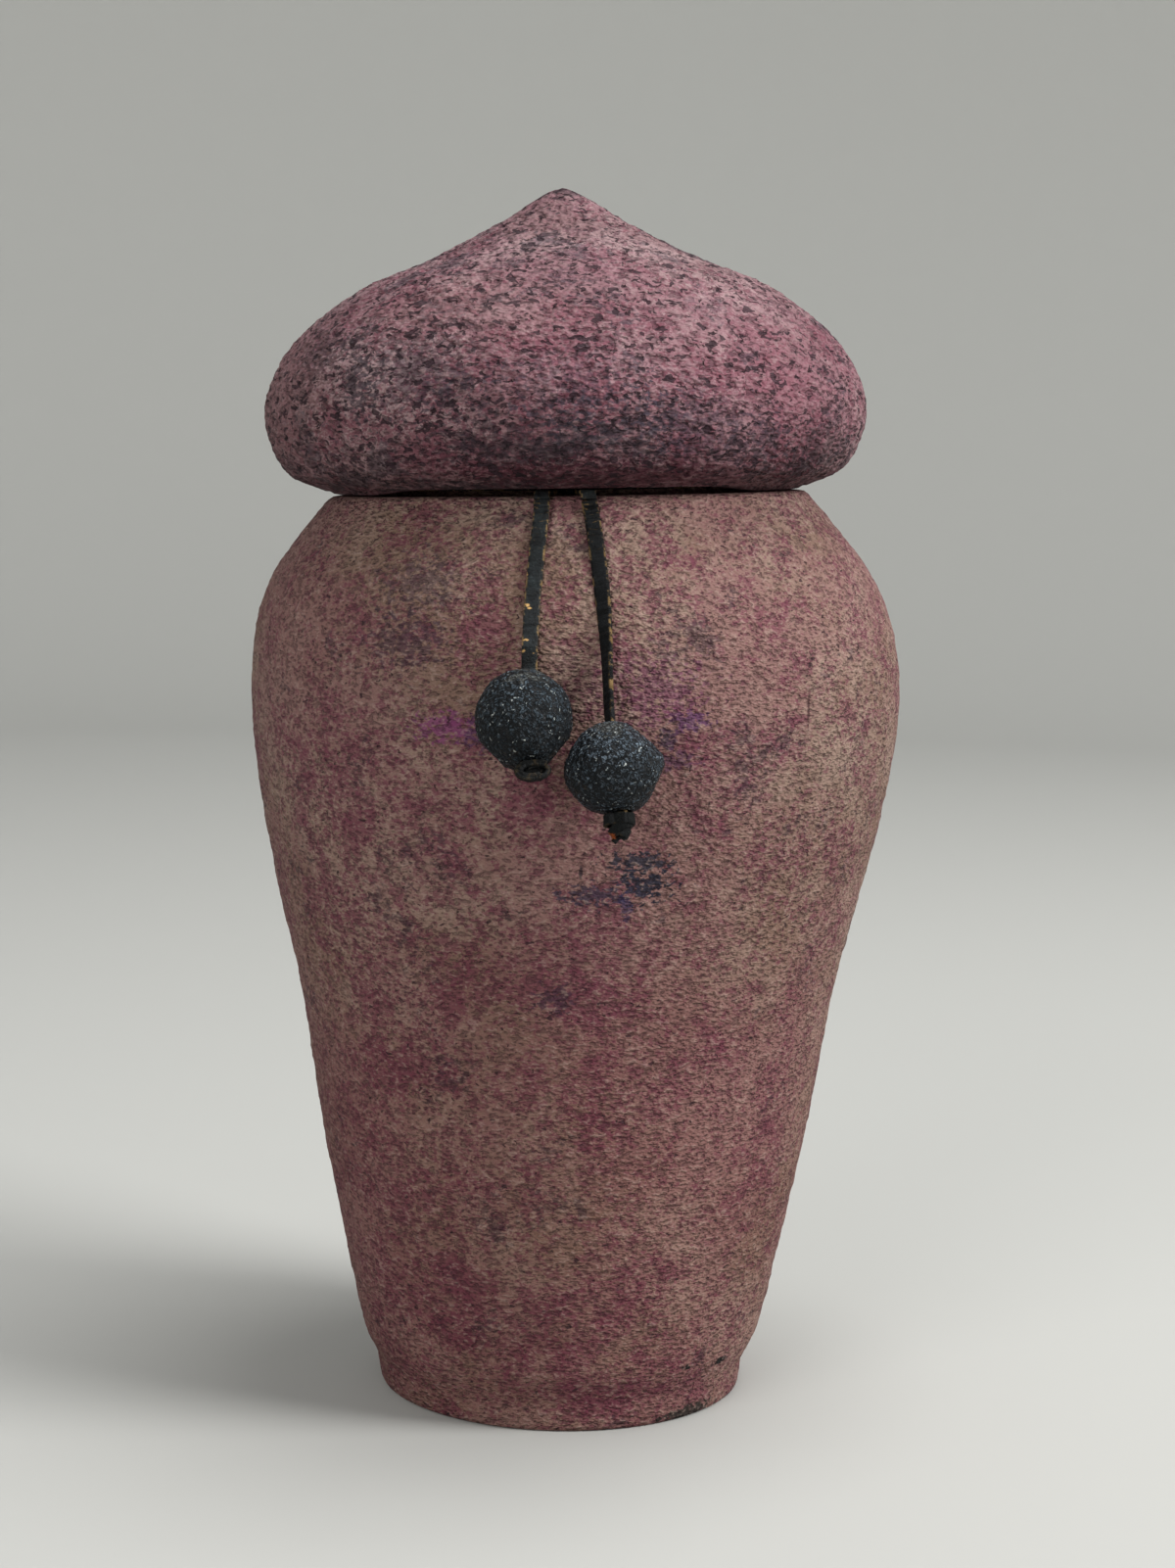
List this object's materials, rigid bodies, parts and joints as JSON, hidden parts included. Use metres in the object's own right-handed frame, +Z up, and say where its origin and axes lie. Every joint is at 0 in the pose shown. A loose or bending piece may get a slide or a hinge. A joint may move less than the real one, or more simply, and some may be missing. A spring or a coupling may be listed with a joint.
{
  "type": "lidded ceramic urn",
  "caption": "Hand-thrown ceramic urn with an overhanging domed lid and a flat leather lace tied round its neck, whose tails hang down the front through clay beads.",
  "frame": {"origin": "on the standing surface, under the middle of the belly", "axes": "+Z up along the jar, -Y towards the front where the laces hang, +X to the viewer's right"},
  "size_m": [0.1432, 0.163, 0.2664],
  "materials": {
    "body_clay": "matt unglazed, sandy, smoke-clouded",
    "lid_clay": "matt unglazed, pitted, smoke-clouded",
    "bead_clay": "matt granular, reduced black",
    "lace_leather": "worn flat lace"
  },
  "bodies": {
    "jar": {"urn_body": "body_clay", "lace_loop": "lace_leather", "lace_knot": "lace_leather"},
    "lid": {"lid": "lid_clay"},
    "left_tail": {"left_lace": "lace_leather", "left_end_knot": "lace_leather"},
    "left_bead": {"left_bead": "bead_clay"},
    "right_tail": {"right_lace": "lace_leather", "right_end_knot": "lace_leather"},
    "right_bead": {"right_bead": "bead_clay"}
  },
  "joints": [
    {"name": "lid_lift", "type": "slide", "parent": "jar", "child": "lid", "axis": [-0.0314, 0.0124, 0.9994], "range_m": [0, 0.08]},
    {"name": "left_tail_swing", "type": "hinge", "parent": "jar", "child": "left_tail", "pos_m": [-0.0074, -0.0537, 0.19935], "axis": [0, 1, 0], "range_deg": [0, 12]},
    {"name": "left_bead_turn", "type": "hinge", "parent": "left_tail", "child": "left_bead", "pos_m": [-0.008, -0.0812, 0.157], "axis": [-0.0767, 0.6135, 0.786], "range_deg": [-12, 45]},
    {"name": "right_tail_swing", "type": "hinge", "parent": "jar", "child": "right_tail", "pos_m": [0.0022, -0.054, 0.19935], "axis": [0, 1, 0], "range_deg": [-12, 0]},
    {"name": "right_bead_turn", "type": "hinge", "parent": "right_tail", "child": "right_bead", "pos_m": [0.0085, -0.0815, 0.1483], "axis": [-0.1414, 0.3982, 0.9063], "range_deg": [-45, 45]}
  ]
}
